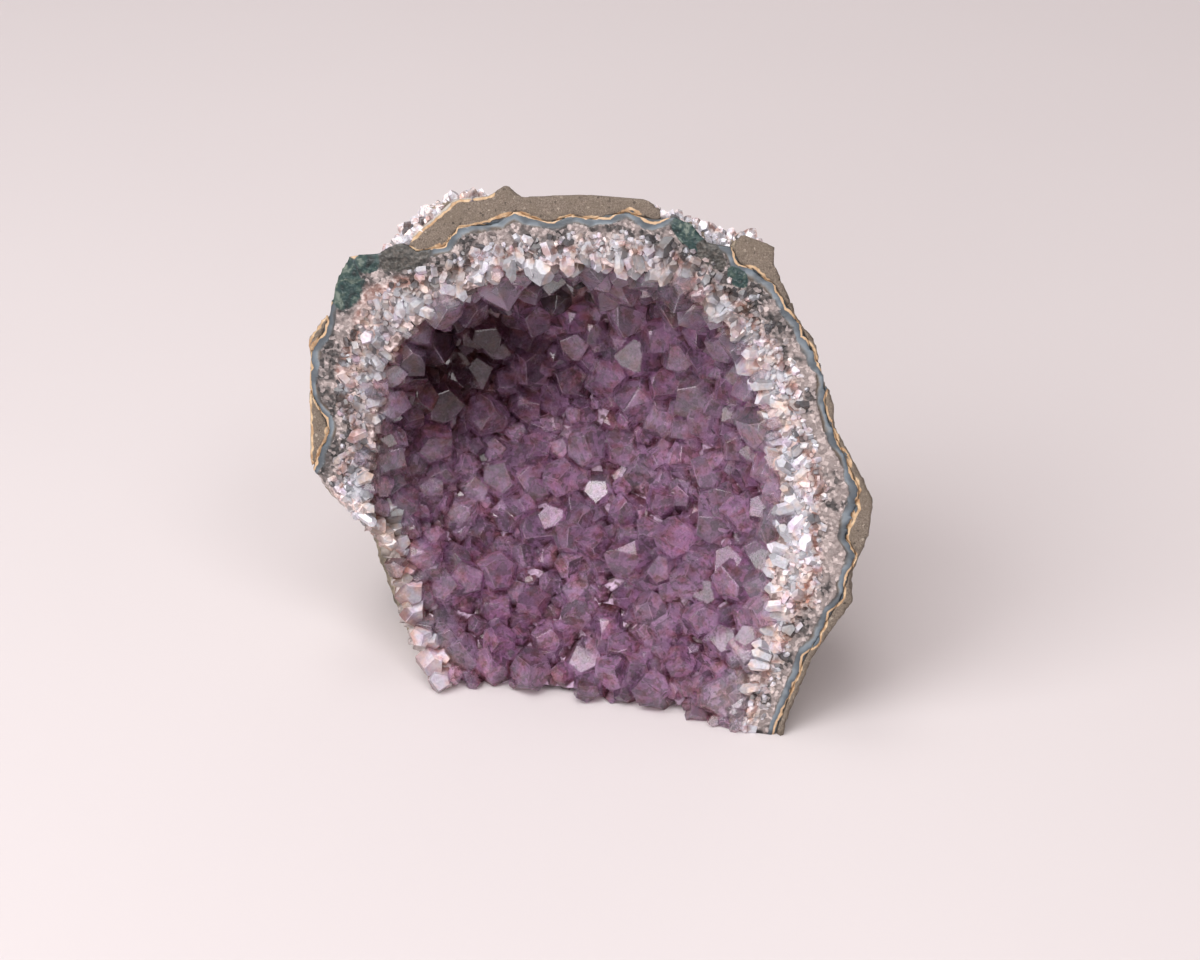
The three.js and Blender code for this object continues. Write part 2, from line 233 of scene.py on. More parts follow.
def set_down(obj, foot):
    """Puts the foot's points exactly on the floor."""
    coordinates = coordinates_of(obj)
    coordinates[foot, 2] = CAD_BOX[0][2]
    obj.data.vertices.foreach_set("co", coordinates.ravel())


def keep_in_box(obj):
    """Pulls back what stands outside the CAD box."""
    low, high = (np.array(corner) for corner in CAD_BOX)
    points = np.clip(coordinates_of(obj), low + BOX_MARGIN * MM, high - BOX_MARGIN * MM)
    points[:, 2] = np.maximum(points[:, 2], low[2])
    obj.data.vertices.foreach_set("co", points.ravel())
    obj.data.update()


# --- What the CAD wall says: its face, foot and hollow, the break at the lower left, and its skin

BREAK_FROM = np.array([-52.5, 0.0, 38.0])  # the upper end of the break on the sawn face
BREAK_TO = np.array([-29.5, 0.0, -2.0])  # and its lower end
BREAK_SWING = np.array([-0.5, 1.0, 0.0])  # the break runs to the left as it goes deeper
BREAK_SPREAD = 4.0  # how far the break's rough surface strays from its plane
BREAK_FACING = 0.55  # the least cosine between the normal of that surface and the plane's
HOLLOW_MIDDLE = np.array([-7.0, 6.0, 50.0])  # a place inside the hollow

wall_points, wall_triangles = triangles_of(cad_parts["geode_wall"])
wall_normals, _, wall_middles = normals_of(wall_points, wall_triangles)
break_normal = np.cross(BREAK_TO - BREAK_FROM, BREAK_SWING)
break_normal /= np.linalg.norm(break_normal)
if break_normal[0] > 0:
    break_normal = -break_normal

on_face = (np.abs(wall_middles[:, 1]) < FACE_SLACK) & (wall_normals[:, 1] < -0.99)
on_foot = from_face(wall_middles)[:, 2] < FACE_SLACK * MM
in_hollow = ((wall_normals * (wall_middles - HOLLOW_MIDDLE)).sum(axis=1) < 0) & ~on_face & ~on_foot
on_break = (
    (wall_normals @ break_normal > BREAK_FACING)
    & (np.abs((wall_middles - BREAK_FROM) @ break_normal) < BREAK_SPREAD)
    & ~on_face
    & ~on_foot
    & ~in_hollow
)
on_skin = ~(on_face | on_foot | in_hollow | on_break)
skin_tree = tree_of(wall_points, wall_triangles[on_skin])
hollow_tree = tree_of(wall_points, wall_triangles[in_hollow])
break_tree = tree_of(wall_points, wall_triangles[on_break])


def tree_of_rim():
    """A tree of points along the edge between the sawn face and the hollow, none along the foot."""
    sides = {}
    for group, chosen in (("face", on_face), ("hollow", in_hollow)):
        for corners in wall_points[wall_triangles[chosen]]:
            for k in range(3):
                a, b = sorted((tuple(np.round(corners[k], 2)), tuple(np.round(corners[(k + 1) % 3], 2))))
                sides.setdefault((a, b), set()).add(group)
    points = []
    for (a, b), groups in sides.items():
        if len(groups) == 2 and min(a[2], b[2]) > 0.5:
            steps = max(1, int(math.dist(a, b)))
            points += [np.array(a) + (np.array(b) - np.array(a)) * i / steps for i in range(steps + 1)]
    tree = KDTree(len(points))
    for i, point in enumerate(points):
        tree.insert(point.tolist(), i)
    tree.balance()
    return tree


rim_tree = tree_of_rim()


def rim_distance(points):
    return np.array([rim_tree.find(p)[2] for p in points.tolist()])


# Patches on the sawn face, as middle x and z, half width, half height and tilt in degrees
CELADONITE = [
    (-54.5, 85.0, 4.2, 5.4, 10),
    (-49.5, 89.5, 3.0, 2.2, 35),
    (15.5, 101.5, 5.0, 2.4, -35),
    (25.0, 94.0, 1.8, 2.6, 40),
]
SMOKY = [(-42.0, 92.0, 6.0, 3.4, 20), (19.5, 98.0, 3.4, 2.2, -40)]
RUST = [(43.0, 29.0, 2.2, 3.6, -10), (40.0, 22.0, 1.4, 2.2, 0)]
PATCH_DEPTH = 9.0  # how far a patch runs in behind the face


def dinginess(points):
    """How grey and stained the quartz of the rim is: most at the upper left, little on the right."""
    left = ramp(-points[:, 0], 20, 40) * ramp(points[:, 2], 38, 52)
    top = (0.3 + 0.6 * ramp(points[:, 0], 0, 12)) * ramp(points[:, 2], 78, 88)
    return np.maximum(left, top)


def patches_at(points, patches):
    """1 inside the patches, 0 away from them, from above 0 to 1 near their edges."""
    found = np.zeros(len(points))
    for x, z, wide, high, tilt in patches:
        turn = math.radians(tilt)
        dx, dz = points[:, 0] - x, points[:, 2] - z
        along = (dx * math.cos(turn) + dz * math.sin(turn)) / wide
        across = (dz * math.cos(turn) - dx * math.sin(turn)) / high
        found = np.maximum(found, 1.5 - np.hypot(np.hypot(along, across), points[:, 1] / PATCH_DEPTH))
    return np.clip(found, 0, 1)


# --- Material tools


class Nodes:
    """A material's node tree, built by short calls that take other nodes' outputs or plain numbers."""

    def __init__(self, name):
        self.material = bpy.data.materials.new(name)
        self.material.use_nodes = True
        self.tree = self.material.node_tree
        self.tree.nodes.clear()
        self.output = self.make("OutputMaterial")
        self.shader = self.make("BsdfPrincipled")
        self.put(self.output.inputs["Surface"], self.shader.outputs[0])
        self.place = self.make("TexCoord").outputs["Object"]

    def put(self, socket, value):
        """Links another node's output to a socket, or sets the socket to a number or colour."""
        if isinstance(value, bpy.types.NodeSocket):
            self.tree.links.new(value, socket)
        elif isinstance(value, (tuple, list)) and len(value) == 3 and socket.type == "RGBA":
            socket.default_value = (*value, 1)
        else:
            socket.default_value = value

    def put_all(self, node, inputs):
        """Sets a node's sockets, whose names are given in lower case with underscores."""
        for name, value in inputs.items():
            self.put(node.inputs[name.replace("_", " ").title().replace("Ior", "IOR")], value)

    def make(self, kind, **inputs):
        node = self.tree.nodes.new("ShaderNode" + kind)
        self.put_all(node, inputs)
        return node

    def value(self, name):
        """A number that the mesh holds for each vertex or face."""
        node = self.make("Attribute")
        node.attribute_name = name
        return node.outputs["Fac"]

    def noise(self, size, detail, roughness=0.5, distortion=0.0):
        """Noise from 0 to 1 whose bumps are about size millimetres apart."""
        look = {"detail": detail, "roughness": roughness, "distortion": distortion}
        return self.make("TexNoise", vector=self.place, scale=1 / (size * MM), **look).outputs["Fac"]

    def cells(self, size, output="Distance"):
        """Cells about size millimetres across: the distance from each one's middle, or a colour for each."""
        return self.make("TexVoronoi", vector=self.place, scale=1 / (size * MM)).outputs[output]

    def math(self, operation, a, b=0.0):
        node = self.make("Math")
        node.operation = operation
        self.put(node.inputs[0], a)
        self.put(node.inputs[1], b)
        return node.outputs[0]

    def centred(self, value):
        """A value from 0 to 1 as one from -0.5 to 0.5."""
        return self.math("SUBTRACT", value, 0.5)

    def add(self, a, b):
        return self.math("ADD", a, b)

    def times(self, a, b):
        return self.math("MULTIPLY", a, b)

    def spread(self, value, low, high, to_low=0.0, to_high=1.0, smooth=True):
        """The part of value from low to high, spread over to_low to to_high."""
        node = self.make("MapRange", value=value, from_min=low, from_max=high, to_min=to_low, to_max=to_high)
        node.interpolation_type = "SMOOTHSTEP" if smooth else "LINEAR"
        return node.outputs["Result"]

    def patches(self, size, low, high, detail=2, roughness=0.6):
        """Soft-edged patches of noise: 0 where it is below low, 1 where it is above high."""
        return self.spread(self.noise(size, detail, roughness), low, high)

    def band(self, value, middle, half, edge):
        """1 within half of middle, 0 past edge more."""
        away = self.math("ABSOLUTE", self.math("SUBTRACT", value, middle))
        return self.spread(away, half, half + edge, 1.0, 0.0)

    def mix(self, share, a, b, blend="MIX"):
        node = self.make("Mix")
        node.data_type = "RGBA"
        node.blend_type = blend
        # The node has its sockets once for each data type; these are the ones for colours.
        self.put(node.inputs[0], share)
        self.put(node.inputs[6], a)
        self.put(node.inputs[7], b)
        return node.outputs[2]

    def colours(self, value, stops):
        """A colour ramp: each stop is a position and a colour as on a screen, 0 to 255."""
        node = self.make("ValToRGB", fac=value)
        elements = node.color_ramp.elements
        while len(elements) < len(stops):
            elements.new(0.5)
        for element, (position, *colour) in zip(elements, stops):
            element.position = position
            element.color = (*srgb(*colour), 1)
        return node.outputs["Color"]

    def bump(self, height, strength, distance):
        return self.make("Bump", strength=strength, distance=distance * MM, height=height).outputs["Normal"]

    def finish(self, **inputs):
        """Sets the shader's sockets."""
        self.put_all(self.shader, inputs)
        return self.material


def srgb(r, g, b):
    """A colour given as on a screen, 0 to 255, as linear light."""
    screen = (c / 255 for c in (r, g, b))
    return tuple(c / 12.92 if c <= 0.04045 else ((c + 0.055) / 1.055) ** 2.4 for c in screen)


# --- Camera, floor and light


def add_camera():
    low, high = (np.array(corner) / MM for corner in CAD_BOX)
    target = Vector((low + high) / 2 + np.array(AIM_FROM_MIDDLE)) * MM
    level = math.cos(ELEVATION)
    back = Vector((math.sin(AZIMUTH) * level, -math.cos(AZIMUTH) * level, math.sin(ELEVATION)))
    data = bpy.data.cameras.new("camera")
    data.lens = LENS
    data.sensor_width = SENSOR
    data.clip_start = 0.01
    data.clip_end = 20
    camera = placed("camera", data)
    right = Vector((math.cos(AZIMUTH), math.sin(AZIMUTH), 0))
    turn = Matrix((right, back.cross(right), back)).transposed().to_4x4()
    camera.matrix_world = Matrix.Translation(target + back * DISTANCE * MM) @ turn
    bpy.context.scene.camera = camera


def add_light(name, place, aim, size, watts, colour):
    data = bpy.data.lights.new(name, "AREA")
    data.shape = "RECTANGLE"
    data.size, data.size_y = size
    data.energy = watts
    data.color = colour
    light = placed(name, data)
    light.location = place
    light.rotation_euler = (Vector(aim) - Vector(place)).to_track_quat("-Z", "Y").to_euler()


FLOOR_REACH = 3.0  # half the floor's width, in metres
FLOOR_DROP = 0.02  # the floor lies this far below the foot, so that the two don't flicker
WARM = (1.0, 0.975, 0.97)
WHITE = (1.0, 0.985, 0.985)
LIGHTS = (  # name, place and aim in metres, width and height in metres, watts, colour
    ("key", (-0.62, -0.62, 0.86), (0, 0, 0.03), (0.75, 0.7), 7.8, WHITE),
    ("overhead", (-0.12, -0.44, 1.1), (0, 0, 0.04), (0.75, 0.5), 4.5, WARM),
    ("fill", (0.5, -0.55, 1.0), (0, 0, 0.04), (0.4, 0.35), 2.5, WARM),
    ("back", (0.3, 1.3, 0.45), (0, 0, 0.05), (0.9, 0.5), 1.8, WARM),
    ("top", (-0.2, 0.22, 1.05), (0, 0, 0.05), (0.34, 0.3), 1.6, (1.0, 0.96, 0.93)),
    ("front", (-0.1, -1.2, 0.45), (0, 0, 0.05), (0.9, 0.5), 4.2, WARM),
)


def add_surroundings():
    floor_nodes = Nodes("studio_paper")
    tint = floor_nodes.mix(floor_nodes.noise(70, 1), srgb(222, 216, 217), srgb(224, 218, 219))
    floor_nodes.finish(base_color=tint, roughness=0.85)
    mesh = bpy.data.meshes.new("floor")
    z = CAD_BOX[0][2] - FLOOR_DROP * MM
    corners = [(x * FLOOR_REACH, y * FLOOR_REACH, z) for x, y in ((-1, -1), (1, -1), (1, 1), (-1, 1))]
    mesh.from_pydata(corners, [], [(0, 1, 2, 3)])
    mesh.materials.append(floor_nodes.material)
    floor = placed("floor", mesh)

    world = bpy.data.worlds.new("studio")
    world.use_nodes = True
    background = world.node_tree.nodes["Background"]
    background.inputs["Color"].default_value = (*srgb(246, 226, 226), 1)
    background.inputs["Strength"].default_value = 0.27
    scene = bpy.context.scene
    scene.world = world
    scene.view_settings.view_transform = "Standard"

    for light in LIGHTS:
        add_light(*light)


# --- The line between rock and wall, drawn by both materials: a tan rind, then scalloped agate

SCALLOP = 4.6  # the size of one scallop
RIND_HALF, RIND_EDGE = 0.14, 0.15  # half the tan rind's width, and its soft edge
CHALK = srgb(206, 200, 192)
TAN = srgb(204, 172, 136)


def band_line(n, away):
    """Distance into the wall, in mm, of a scalloped line that runs along the wall's skin."""
    scallops = n.math("SUBTRACT", 0.45, n.cells(SCALLOP))
    slow = n.centred(n.noise(9, 2))
    fine = n.centred(n.noise(1.1, 2, 0.6))
    return n.add(away, n.add(n.times(scallops, 1.9), n.add(n.times(slow, 1.6), n.times(fine, 0.55))))


def rind_band(n, line):
    """1 on the tan rind, just outside the agate."""
    return n.band(line, -0.1, RIND_HALF, RIND_EDGE)


AGATE = [  # from its outer side inwards
    (0.0, 72, 76, 78),
    (0.16, 88, 98, 106),
    (0.45, 110, 122, 132),
    (0.68, 126, 134, 140),
    (0.86, 112, 108, 104),
    (1.0, 86, 74, 64),
]


def agate_colour(n, line):
    """The agate's bands, darker in patches."""
    bands = n.colours(n.spread(line, 0.0, AGATE_TO, smooth=False), AGATE)
    dark = n.spread(n.noise(5, 2, 0.6), 0.42, 0.6, 0.0, 0.7)
    return n.mix(dark, bands, srgb(62, 68, 74))


# --- Host rock


def basalt_colour(n, grain, behind):
    """Fine grains with dark and light flecks, and a mottled skin on the outside."""
    base = n.colours(grain, [(0.28, 72, 64, 56), (0.5, 124, 112, 101), (0.74, 168, 154, 139)])
    cloud = n.patches(5, 0.35, 0.7, detail=4)
    base = n.mix(cloud, base, n.mix(0.55, base, srgb(118, 106, 92)))
    skin = n.colours(n.noise(3.5, 5, 0.65), [(0.3, 84, 77, 67), (0.5, 138, 127, 112), (0.7, 180, 165, 144)])
    base = n.mix(behind, base, skin)
    flecks = n.cells(0.45, "Color")
    base = n.mix(n.spread(flecks, 0.0, 0.22, 1.0, 0.0), base, srgb(60, 52, 46))
    return n.mix(n.times(n.spread(flecks, 0.86, 0.98), 0.5), base, srgb(206, 194, 178))


def rock_material():
    n = Nodes("basalt")
    depth = n.value("behind")
    behind = n.spread(depth, 0.5, 5)
    face = n.spread(depth, 0.3, 1.2, 1.0, 0.0)
    grain = n.noise(0.3, 4, 0.75)
    base = basalt_colour(n, grain, behind)

    # On the face the rock has the tan rind towards the wall, and at the upper left a chalky outer edge too.
    line = band_line(n, n.times(n.value("wall_away"), -1.0))
    outer = n.add(n.value("outer_away"), n.times(n.centred(n.noise(2.0, 3)), 1.2))
    chalky = n.times(n.spread(outer, 0.0, 0.45, 1.0, 0.0), face)
    base = n.mix(n.times(chalky, 0.8), base, CHALK)
    rind = n.times(n.math("MAXIMUM", rind_band(n, line), n.band(outer, 0.5, RIND_HALF, 0.2)), face)
    mottled = n.colours(n.noise(1.4, 3), [(0.35, 178, 140, 104), (0.65, 224, 196, 160)])
    base = n.mix(rind, base, mottled)
    inside = n.times(n.spread(line, 0.1, 0.25), face)
    base = n.mix(inside, base, agate_colour(n, line))

    pits = n.times(n.spread(n.cells(1.7), 0.0, 0.35), n.times(behind, 0.5))
    height = n.add(n.times(grain, 0.5), n.add(n.noise(1.6, 5, 0.75), pits))
    height = n.times(height, n.math("SUBTRACT", 1.0, inside))
    n.finish(base_color=base, roughness=n.spread(inside, 0, 1, 0.85, 0.4), normal=n.bump(height, 0.7, 0.5))
    return n.material


CAD_GAP = 0.3  # between rock and wall
CLOSING_REACH = 1.2  # rock this near the wall is drawn towards it
CLOSING_STEP = 0.42  # by this much where it is nearest
OVERLAP = 0.05  # but no further into the wall than this


def close_to_wall(rock):
    """Draws the rock's inner side up to the wall, over the narrow gap that the CAD leaves."""
    points = points_of(rock)
    for i, point in enumerate(points.tolist()):
        nearest, _, _, away = skin_tree.find_nearest(point, CLOSING_REACH)
        if away is not None and away > 1e-6:
            shift = min(CLOSING_STEP * (1 - ramp(away, CAD_GAP, CLOSING_REACH)), away + OVERLAP)
            points[i] += (np.array(nearest) - points[i]) * shift / away
    set_points(rock, points)


RIND_REACH = 20.0  # no rind is drawn further than this from the line it follows
OUTER_RIND_TO = -24.0  # to the left of this the rock has a rind on its outer side too
LUMPS, RIDGES, GRIT = 0.7, 0.7, 0.35  # heights of the rock's relief
RELIEF_MIDDLE = 0.45  # taken off, so that the rock hardly grows


def roughen_outside(rock):
    """Lumps, ridges and grit on the rock's outside, while the sawn face and the foot stay flat."""
    points = points_of(rock)
    flat, foot = on_flats(points, ROCK_VOXEL)
    normals = vertex_normals(rock)
    ridges = 0.5 - np.abs(noise_at(points, 7.0, 5.0, 4))
    shift = LUMPS * noise_at(points, 4.5, 3.0, 5) + RIDGES * ridges
    shift = shift + GRIT * noise_at(points, 1.6, 9.0, 3) - RELIEF_MIDDLE
    points += normals * (ramp(points[:, 1], 0.4, 3.0) * shift)[:, None]
    points[flat, 1] = 0.0
    points[:, 1] = np.maximum(points[:, 1], 0.0)
    set_points(rock, points)
    set_down(rock, foot)


def outer_rind_distance(points):
    """How far points are from the rock's outer side, and far to the right of where it has a rind."""
    cad_points, cad_triangles = triangles_of(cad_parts["host_rock"])
    _, _, middles = normals_of(cad_points, cad_triangles)
    outer = (middles[:, 1] > FACE_SLACK) & (distances(skin_tree, middles) > 1)
    away = distances(tree_of(cad_points, cad_triangles[outer]), points, RIND_REACH)
    return away + RIND_REACH * (points[:, 0] > OUTER_RIND_TO)


def add_rock():
    rock = remeshed("host_rock", "basalt_rock", ROCK_VOXEL)
    roughen_outside(rock)
    close_to_wall(rock)
    keep_in_box(rock)
    points = points_of(rock)
    write_values(
        rock,
        behind=points[:, 1],
        wall_away=distances(skin_tree, points, RIND_REACH),
        outer_away=outer_rind_distance(points),
    )
    rock.data.materials.append(rock_material())
    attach(rock, "root")
    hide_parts("host_rock")


# --- Agate and quartz wall


def speckled_grains(n):
    """Salt-and-pepper grains of quartz."""
    return n.colours(
        n.cells(0.7, "Color"),
        [(0.15, 30, 28, 28), (0.4, 74, 68, 68), (0.6, 120, 110, 108), (0.85, 206, 192, 190)],
    )


def granular_quartz(n, grains, dingy):
    """The grains in dark and pale patches, with more dark ones where the rim is dingy."""
    lighter = n.add(n.noise(4.2, 2, 0.65), n.spread(dingy, 0.0, 1.0, 0.07, -0.07, smooth=False))
    dark = n.mix(0.45, grains, srgb(44, 42, 42))
    pale = n.mix(0.4, grains, srgb(206, 190, 186))
    return n.mix(n.spread(lighter, 0.44, 0.56), dark, pale)


def milky_quartz(n, away, dingy):
    """Pale grains with a broken red-brown line beside the granular band, brown dirt and rust."""
    grains = n.cells(1.0, "Color")
    milky = n.colours(grains, [(0.1, 150, 124, 122), (0.35, 218, 194, 190), (0.85, 244, 228, 224)])
    red = n.times(n.band(away, GRANULAR_TO + 0.6, 0.5, 1.2), n.patches(2.4, 0.4, 0.56))
    milky = n.mix(n.times(red, 0.85), milky, srgb(132, 88, 76))
    soiled = n.times(dingy, n.patches(1.8, 0.4, 0.56))
    milky = n.mix(n.times(soiled, 0.55), milky, srgb(112, 86, 78))
    rust = n.times(n.value("rust"), n.patches(1.6, 0.35, 0.6, detail=1))
    return n.mix(n.times(rust, 0.75), milky, srgb(188, 120, 76))


def bed_colour(n, fine):
    """Hollow bed: white over lilac to dark purple, brown patches; the dark upper left is partly painted
    shade.
    """
    bed = n.colours(
        n.value("hollow_deep"),
        [(0.0, 236, 216, 214), (0.25, 238, 214, 230), (0.5, 226, 196, 226), (1.0, 110, 66, 72)],
    )
    bed = n.mix(n.patches(2.2, 0.46, 0.58, roughness=0.65), bed, n.mix(0.8, bed, srgb(84, 62, 50)))
    return n.mix(n.spread(fine, 0.3, 0.7), bed, n.mix(0.3, bed, srgb(96, 66, 74)))


def with_outside(n, colour, skin, grains):
    """Adds the brown skin behind the face, and the grey-white quartz with green stains of the break."""
    depth = n.value("behind")
    outside = n.times(n.spread(depth, 0.3, 1.2), n.spread(skin, 0.5, 0.9, 1.0, 0.0))
    brown = n.colours(n.noise(2.6, 2, 0.65), [(0.3, 96, 84, 66), (0.5, 140, 122, 96), (0.7, 176, 156, 126)])
    colour = n.mix(outside, colour, brown)
    fracture = n.times(n.value("fracture"), n.spread(depth, 0.1, 0.9))
    cloud = n.noise(4.5, 2, 0.6)
    stained = n.colours(cloud, [(0.3, 96, 98, 86), (0.46, 188, 178, 172), (0.7, 224, 212, 210)])
    return n.mix(n.times(fracture, 0.8), colour, n.mix(0.25, stained, grains))


def with_minerals(n, colour, wobble):
    """Adds the patches of green celadonite and of smoky quartz, with ragged edges."""
    ragged = n.times(wobble, 0.8)
    celadonite = n.colours(
        n.noise(3.4, 2, 0.6, 1.5),
        [(0.3, 20, 34, 34), (0.45, 28, 58, 58), (0.55, 52, 74, 68), (0.66, 110, 122, 112)],
    )
    smoke = n.colours(n.noise(0.9, 2, 0.7), [(0.3, 34, 34, 32), (0.5, 66, 64, 60), (0.7, 104, 98, 92)])
    for patch, mineral in (("celadonite", celadonite), ("smoky", smoke)):
        colour = n.mix(n.spread(n.add(n.value(patch), ragged), 0.42, 0.56), colour, mineral)
    return colour


def wall_material():
    n = Nodes("agate_and_quartz")
    wobble = n.centred(n.noise(2.6, 3, 0.65))
    skin = n.value("skin_away")
    dingy = n.value("dingy")
    line = band_line(n, skin)
    away = n.add(skin, n.times(wobble, 2.2))
    fine = n.noise(0.5, 2, 0.6)

    # The bands, from the skin inwards
    agate = n.mix(rind_band(n, line), agate_colour(n, line), TAN)
    grains = speckled_grains(n)
    inner = n.add(skin, n.add(n.times(n.math("SUBTRACT", line, skin), 0.4), n.times(wobble, 1.6)))
    colour = n.mix(n.spread(inner, AGATE_TO - 0.1, AGATE_TO + 0.2), agate, granular_quartz(n, grains, dingy))
    milky = milky_quartz(n, away, dingy)
    colour = n.mix(n.spread(away, GRANULAR_TO - 0.6, GRANULAR_TO + 0.9), colour, milky)
    colour = n.mix(n.value("is_bed"), colour, bed_colour(n, fine))
    colour = with_minerals(n, with_outside(n, colour, skin, grains), wobble)

    height = n.add(n.times(n.cells(0.8), 0.8), n.times(fine, 0.6))
    rough = n.spread(inner, AGATE_TO - 0.4, AGATE_TO + 0.4, 0.08, 1.0)
    n.finish(
        base_color=colour,
        roughness=n.spread(inner, AGATE_TO, AGATE_TO + 1, 0.38, 0.45),
        normal=n.bump(n.times(height, rough), 0.9, 0.45),
        ior=QUARTZ_IOR,
    )
    return n.material


HOLLOW_SLACK = 0.5  # a remeshed point this near the hollow's surface belongs to it
BED_ROUGHNESS = 0.9
BREAK_ROUGHNESS = 0.5
PIT_DEPTH = 0.35  # the pits are in the sawn face, inside the agate


def swell_bed(wall, skin, hollow):
    """Swells the hollow's surface into a rough bed, and gives the break relief and the sawn face pits."""
    points = points_of(wall)
    normals = vertex_normals(wall)
    flat, foot = on_flats(points, WALL_VOXEL)
    inside = hollow < HOLLOW_SLACK
    swell = BED_SWELL + BED_ROUGHNESS * noise_at(points, 3.5, 5.0, 4)
    shift = np.where(inside, swell, 0.0) * ~foot
    broken = ~inside & ~flat & ~foot & (skin > 0.6)
    shift += np.where(broken, BREAK_ROUGHNESS * noise_at(points, 3.0, 1.0, 4), 0.0)
    normals[inside & flat, 1] = 0
    normals /= np.maximum(np.linalg.norm(normals, axis=1), 1e-9)[:, None]
    points += normals * shift[:, None]
    points[flat, 1] = 0.0
    points[:, 1] = np.maximum(points[:, 1], 0.0)
    pitted = flat * ramp(skin, AGATE_TO, AGATE_TO + 0.8) * ramp(points[:, 2], 0.5, 2)
    points[:, 1] += pitted * PIT_DEPTH * (0.5 + 0.5 * noise_at(points, 1.4, 7.0, 2))
    set_points(wall, points)
    set_down(wall, foot)


def add_wall():
    wall = remeshed("geode_wall", "agate_quartz_wall", WALL_VOXEL)
    points = points_of(wall)
    skin, hollow, broken = (distances(tree, points) for tree in (skin_tree, hollow_tree, break_tree))
    swell_bed(wall, skin, hollow)
    keep_in_box(wall)

    points = points_of(wall)
    write_values(
        wall,
        skin_away=skin,
        is_bed=ramp(-hollow, -1.6, -0.3),
        hollow_deep=depth_of_colour_and_shade(points),
        behind=points[:, 1],
        fracture=1 - ramp(broken, 1.0, 3.5),
        celadonite=patches_at(points, CELADONITE),
        smoky=patches_at(points, SMOKY),
        rust=patches_at(points, RUST),
        dingy=dinginess(points),
    )
    wall.data.materials.append(wall_material())
    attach(wall, "root")
    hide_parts("geode_wall")


# --- Crystals

# Where the amethyst is darkest, partly painted shade: a place in the hollow's upper left, and how far it
# reaches
DARK_PLACE = np.array([-35.0, 18.0, 68.0])
DARK_STRETCH = np.array([0.85, 0.7, 1.2])
DARK_FROM, DARK_TO = 7, 30
FADE_FROM_RIM = 15.0  # the purple reaches its common depth this far from the rim
COMMON_DEPTH, DARKEST_MORE = 0.46, 0.54


def depth_of_colour_and_shade(points):
    """How dark the purple is, from 0 at the rim to 1 in the hollow's upper left, where it is partly painted
    shade.
    """
    rim = ramp(np.minimum(rim_distance(points), distances(break_tree, points) + 2), -1, FADE_FROM_RIM)
    dark = 1 - ramp(np.linalg.norm((points - DARK_PLACE) * DARK_STRETCH, axis=1), DARK_FROM, DARK_TO)
    patchy = 0.22 * rim * noise_at(points, 8.0, 2.0, 2)
    down = 0.05 * rim * ramp(-points[:, 2], -48, -20) - 0.09 * rim * ramp(points[:, 2], 68, 82)
    # On the sawn face round the hollow the quartz is white, but where the crystals stand proud it is purple.
    proud = ramp(-points[:, 2], -24, -14) * ramp(-points[:, 0], -33, -27)
    inside = np.maximum(ramp(points[:, 1], 0.3, 3.5), proud)
    # The upper left is darkest, partly the amethyst's own colour and partly painted shade.
    deepest_and_shaded = DARKEST_MORE * dark * ramp(rim, 0.1, 0.5)
    return np.clip(inside * (COMMON_DEPTH * rim + patchy + down + deepest_and_shaded), 0, 1)


TIP_SLOPE = math.radians(51.8)  # the angle between a tip's faces and the level, in quartz
SIDES = 6
FLAT_SIDE = 0.87  # the distance from the axis to a side, as a share of the radius at a corner
UNEVEN_SIDES, UNEVEN_TIPS = 0.14, 0.12  # how much these vary, as shares of the radius


def crystal_planes(rng, radius, shoulder, root):
    """Normals and offsets of a crystal's faces about its own axis: six sides, six tip faces, a bottom."""
    level, upright = math.sin(TIP_SLOPE), math.cos(TIP_SLOPE)
    normals, offsets = [], []
    for k in range(SIDES):
        angle = k * math.tau / SIDES
        side = radius * FLAT_SIDE * (1 + rng.uniform(-UNEVEN_SIDES, UNEVEN_SIDES))
        normals.append((math.cos(angle), math.sin(angle), 0.0))
        offsets.append(side)
        higher = 0.0 if k % 2 else rng.uniform(0.15, 0.9)  # every other face starts higher up
        height = shoulder + rng.uniform(-UNEVEN_TIPS, UNEVEN_TIPS) * radius + higher * radius
        normals.append((level * math.cos(angle), level * math.sin(angle), upright))
        offsets.append(side * level + height * upright)
    normals.append((0.0, 0.0, -1.0))
    offsets.append(root)
    return np.array(normals), np.array(offsets)


# Every three of a crystal's faces
TRIPLES = np.array(list(itertools.combinations(range(2 * SIDES + 1), 3)))


def polyhedron(normals, offsets):
    """Points and faces of the solid behind all the planes."""
    a, b, c = (normals[TRIPLES[:, k]] for k in range(3))
    bc, ca, ab = np.cross(b, c), np.cross(c, a), np.cross(a, b)
    volume = (a * bc).sum(axis=1)
    good = np.abs(volume) > 1e-6
    at = offsets[TRIPLES]
    meet = (at[:, :1] * bc + at[:, 1:2] * ca + at[:, 2:] * ab)[good] / volume[good, None]
    meet = meet[(meet @ normals.T <= offsets + 1e-7).all(axis=1)]
    kept = []
    for point in meet:
        if all(np.abs(point - other).max() > 1e-4 for other in kept):
            kept.append(point)
    points = np.array(kept)
    faces = []
    for normal, offset in zip(normals, offsets):
        on = np.where(np.abs(points @ normal - offset) < 1e-5)[0]
        if len(on) < 3:
            continue
        middle = points[on].mean(axis=0)
        across = points[on[0]] - middle
        across /= np.linalg.norm(across)
        up = np.cross(normal, across)
        turn = np.arctan2((points[on] - middle) @ up, (points[on] - middle) @ across)
        faces.append(on[np.argsort(turn)].tolist())
    return points, faces


class Crystal:
    """A crystal's place on its bed, its axis, and its size."""

    def __init__(self, place, axis, radius, shoulder, root=0.3, bevel=0.0):
        self.place, self.axis, self.radius = place, axis / np.linalg.norm(axis), radius
        self.shoulder, self.root, self.bevel = shoulder, root, bevel

    def reach(self):
        """No part of the crystal is further than this from its middle."""
        return 1.2 * (max(self.shoulder, 0) + 1.5 * self.radius) + 0.5


